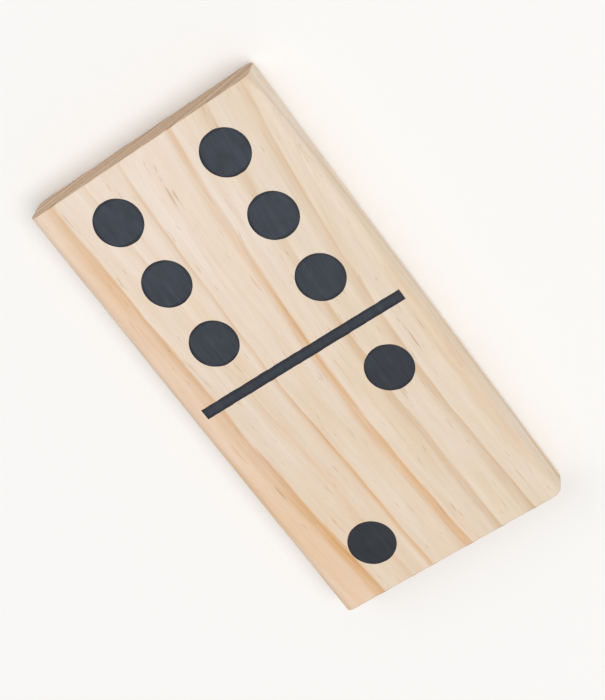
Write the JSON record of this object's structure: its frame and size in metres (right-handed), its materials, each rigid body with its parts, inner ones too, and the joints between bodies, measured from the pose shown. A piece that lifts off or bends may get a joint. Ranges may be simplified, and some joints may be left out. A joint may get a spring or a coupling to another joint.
{
  "type": "giant domino tile",
  "caption": "Flat wooden giant domino tile with rounded long edges; one face carries a printed divider bar and printed round pips, the back is plain.",
  "frame": {"origin": "centre of the plain back face, which is the underside when the tile lies face up", "axes": "+X along the tile from the six half to the two half, +Z out of the printed face, +Y completes the right-handed frame, towards the side of the inner pip of the two half"},
  "size_m": [0.15, 0.075, 0.0131],
  "materials": {
    "pine": "planed and fine-sanded pine, unvarnished, matt",
    "ink": "matt dark slate screen-printing ink, grain showing through"
  },
  "bodies": {
    "root": {"pine_block": "pine", "divider_bar": "ink", "six_pip_outer_left": "ink", "six_pip_middle_left": "ink", "six_pip_inner_left": "ink", "six_pip_outer_right": "ink", "six_pip_middle_right": "ink", "six_pip_inner_right": "ink", "two_pip_inner_right": "ink", "two_pip_outer_left": "ink"}
  },
  "joints": []
}
